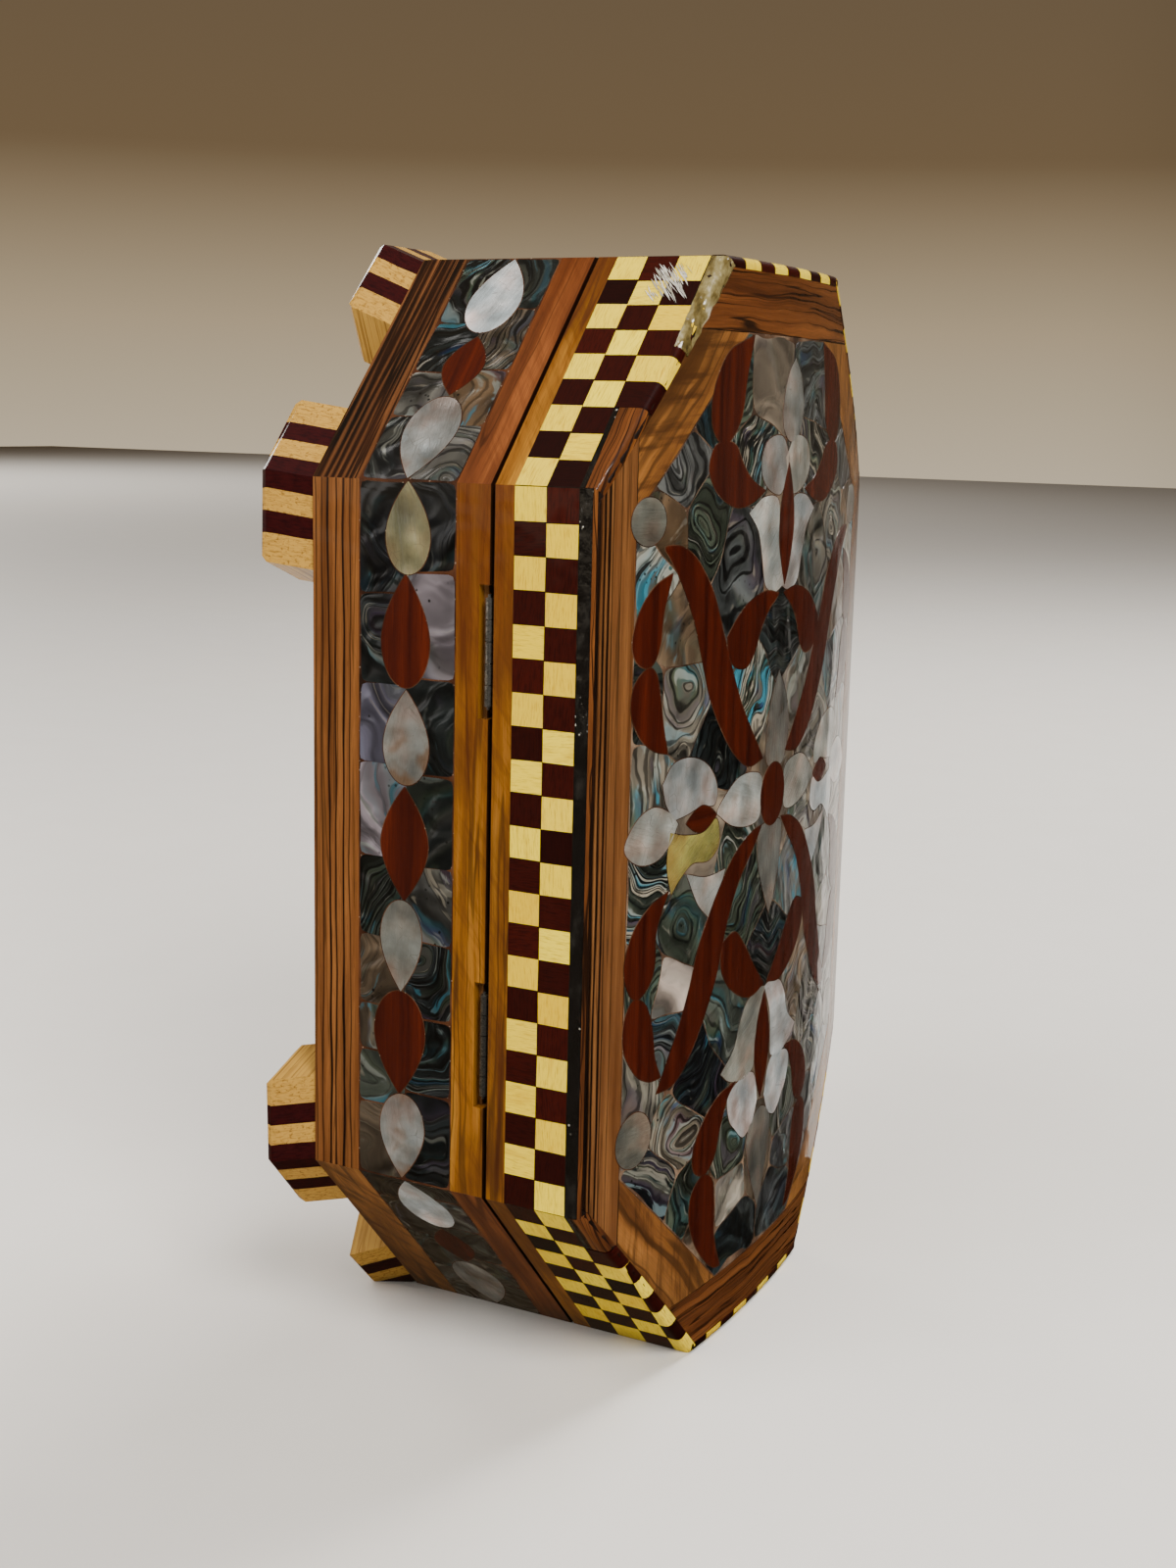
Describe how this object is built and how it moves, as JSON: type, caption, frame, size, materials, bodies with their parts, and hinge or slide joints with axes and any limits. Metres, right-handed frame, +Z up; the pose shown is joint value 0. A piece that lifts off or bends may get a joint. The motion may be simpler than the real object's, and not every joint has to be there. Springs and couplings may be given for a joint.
{
  "type": "marquetry jewellery box",
  "caption": "Long octagonal wooden box with a vaulted lid on side hinges, bracket feet, and shell mosaic and checker inlay, standing on its end.",
  "frame": {"origin": "centre of the short end that the box stands on", "axes": "+Z up along the box's length; +X from the feet to the lid; -Y towards the hinged back"},
  "size_m": [0.0884, 0.161, 0.2534],
  "materials": {
    "carcass_wood": "plain, oiled",
    "striped_wood": "dark-striped hardwood under clear lacquer",
    "olive_wood": "figured orange-brown hardwood under clear lacquer",
    "rim_wood": "orange-brown hardwood under clear lacquer",
    "shell": "mother-of-pearl, abalone and red-brown wood inlay in paste, under clear lacquer",
    "checker_wood": "lemon-yellow and wine-red tiles under clear lacquer",
    "foot_wood": "laminated maple and wine-red hardwood, glossy",
    "hinge_steel": "dulled"
  },
  "bodies": {
    "base": {"base_walls": "carcass_wood", "base_floor": "carcass_wood", "base_border_back": "striped_wood", "base_shell_back": "shell", "base_rim_back": "rim_wood", "base_border_back_upper": "striped_wood", "base_shell_back_upper": "shell", "base_rim_back_upper": "rim_wood", "base_border_upper": "striped_wood", "base_shell_upper": "shell", "base_rim_upper": "rim_wood", "base_border_front_upper": "striped_wood", "base_shell_front_upper": "shell", "base_rim_front_upper": "rim_wood", "base_border_front": "striped_wood", "base_shell_front": "shell", "base_rim_front": "rim_wood", "base_border_front_lower": "striped_wood", "base_shell_front_lower": "shell", "base_rim_front_lower": "rim_wood", "base_border_lower": "striped_wood", "base_shell_lower": "shell", "base_rim_lower": "rim_wood", "base_border_back_lower": "striped_wood", "base_shell_back_lower": "shell", "base_rim_back_lower": "rim_wood", "foot_1": "foot_wood", "foot_2": "foot_wood", "foot_3": "foot_wood", "foot_4": "foot_wood", "foot_5": "foot_wood", "foot_6": "foot_wood", "foot_7": "foot_wood", "foot_8": "foot_wood", "hinge_upper_base_leaf": "hinge_steel", "hinge_upper_pin": "hinge_steel", "hinge_lower_base_leaf": "hinge_steel", "hinge_lower_pin": "hinge_steel"},
    "lid": {"lid_walls": "carcass_wood", "lid_vault": "carcass_wood", "lid_mosaic": "shell", "lid_lower_strip": "rim_wood", "lid_checker_back": "checker_wood", "lid_border_back": "striped_wood", "lid_checker_back_upper": "checker_wood", "lid_border_back_upper": "olive_wood", "lid_checker_upper": "checker_wood", "lid_border_upper": "striped_wood", "lid_checker_front_upper": "checker_wood", "lid_border_front_upper": "olive_wood", "lid_checker_front": "checker_wood", "lid_border_front": "striped_wood", "lid_checker_front_lower": "checker_wood", "lid_border_front_lower": "olive_wood", "lid_checker_lower": "checker_wood", "lid_border_lower": "striped_wood", "lid_checker_back_lower": "checker_wood", "lid_border_back_lower": "olive_wood", "hinge_upper_lid_leaf": "hinge_steel", "hinge_lower_lid_leaf": "hinge_steel"}
  },
  "joints": [
    {"name": "lid_hinge", "type": "hinge", "parent": "base", "child": "lid", "pos_m": [0.01025, -0.07625, 0.125], "axis": [0, 0, -1], "range_deg": [0, 120]}
  ]
}
